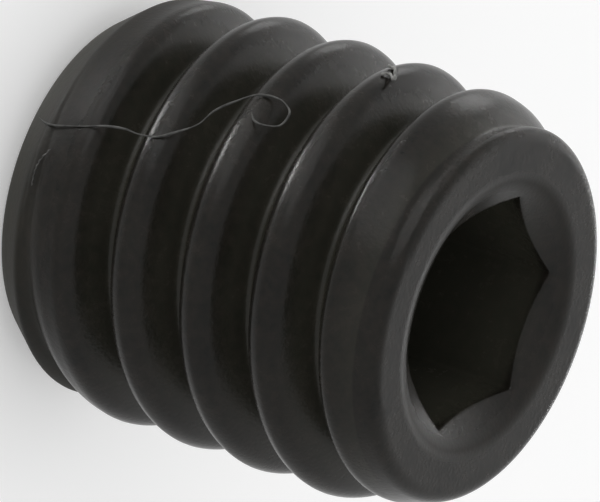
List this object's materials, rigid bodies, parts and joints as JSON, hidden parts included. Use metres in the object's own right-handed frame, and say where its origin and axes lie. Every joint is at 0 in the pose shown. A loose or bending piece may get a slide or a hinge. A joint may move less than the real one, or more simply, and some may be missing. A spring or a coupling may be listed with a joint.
{
  "type": "grub set screw",
  "caption": "Short headless set screw with a right-hand external thread over its whole length, a hexagon socket in one end and a cup point at the other.",
  "frame": {"origin": "on the screw's axis, in the plane of the point end's rim", "axes": "+Z along the screw's axis, from the point to the socket end; +X and +Y across it"},
  "size_m": [0.0041, 0.004, 0.0044],
  "materials": {
    "black_oxide_steel": "black oxide, satin"
  },
  "bodies": {
    "root": {"set_screw": "black_oxide_steel"}
  },
  "joints": []
}
